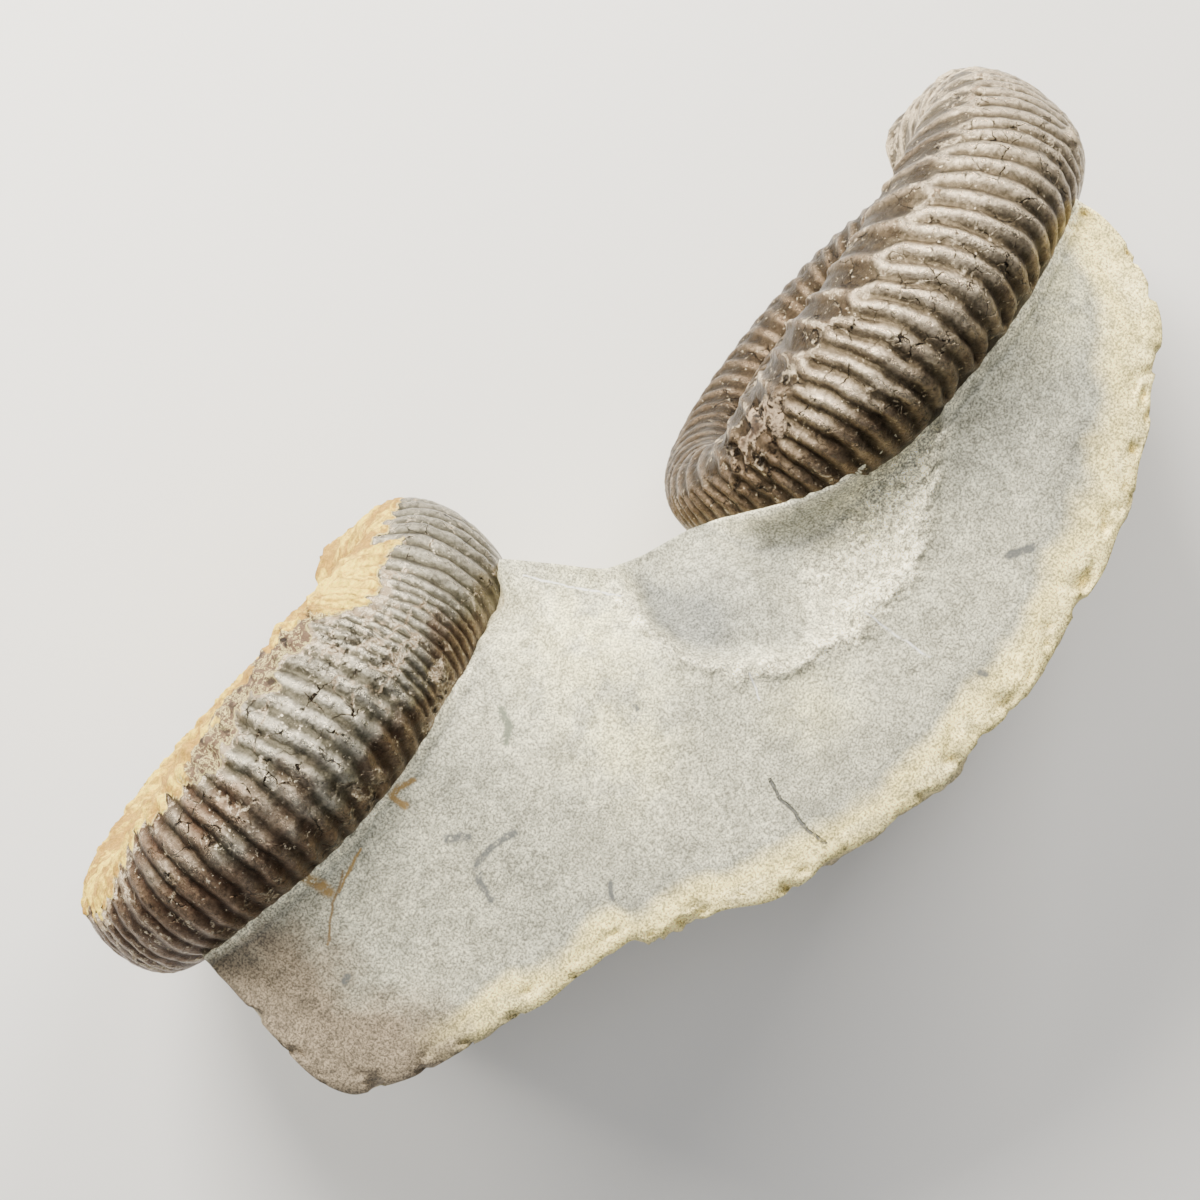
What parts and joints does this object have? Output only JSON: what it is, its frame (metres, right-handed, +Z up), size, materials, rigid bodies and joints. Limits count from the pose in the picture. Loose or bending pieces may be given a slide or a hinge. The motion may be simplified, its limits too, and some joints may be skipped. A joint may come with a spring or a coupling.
{
  "type": "pair of ammonite fossils in rock matrix",
  "caption": "Ribbed coiled ammonite fossils prepared on a smooth ground block of grey nodule rock, for display or study.",
  "frame": {"origin": "centre of the bounding box at the flat base", "axes": "+Z up from the flat base to the ground upper face; +X along the block to its squarely cut end; the fronts of the coils face -Y and the natural rounded side of the rock faces +Y"},
  "size_m": [0.1157, 0.0554, 0.0509],
  "materials": {
    "shell": "polished",
    "rock": "ground"
  },
  "bodies": {
    "root": {"ammonite_far": "shell", "ammonite_near": "shell", "matrix": "rock"}
  },
  "joints": []
}
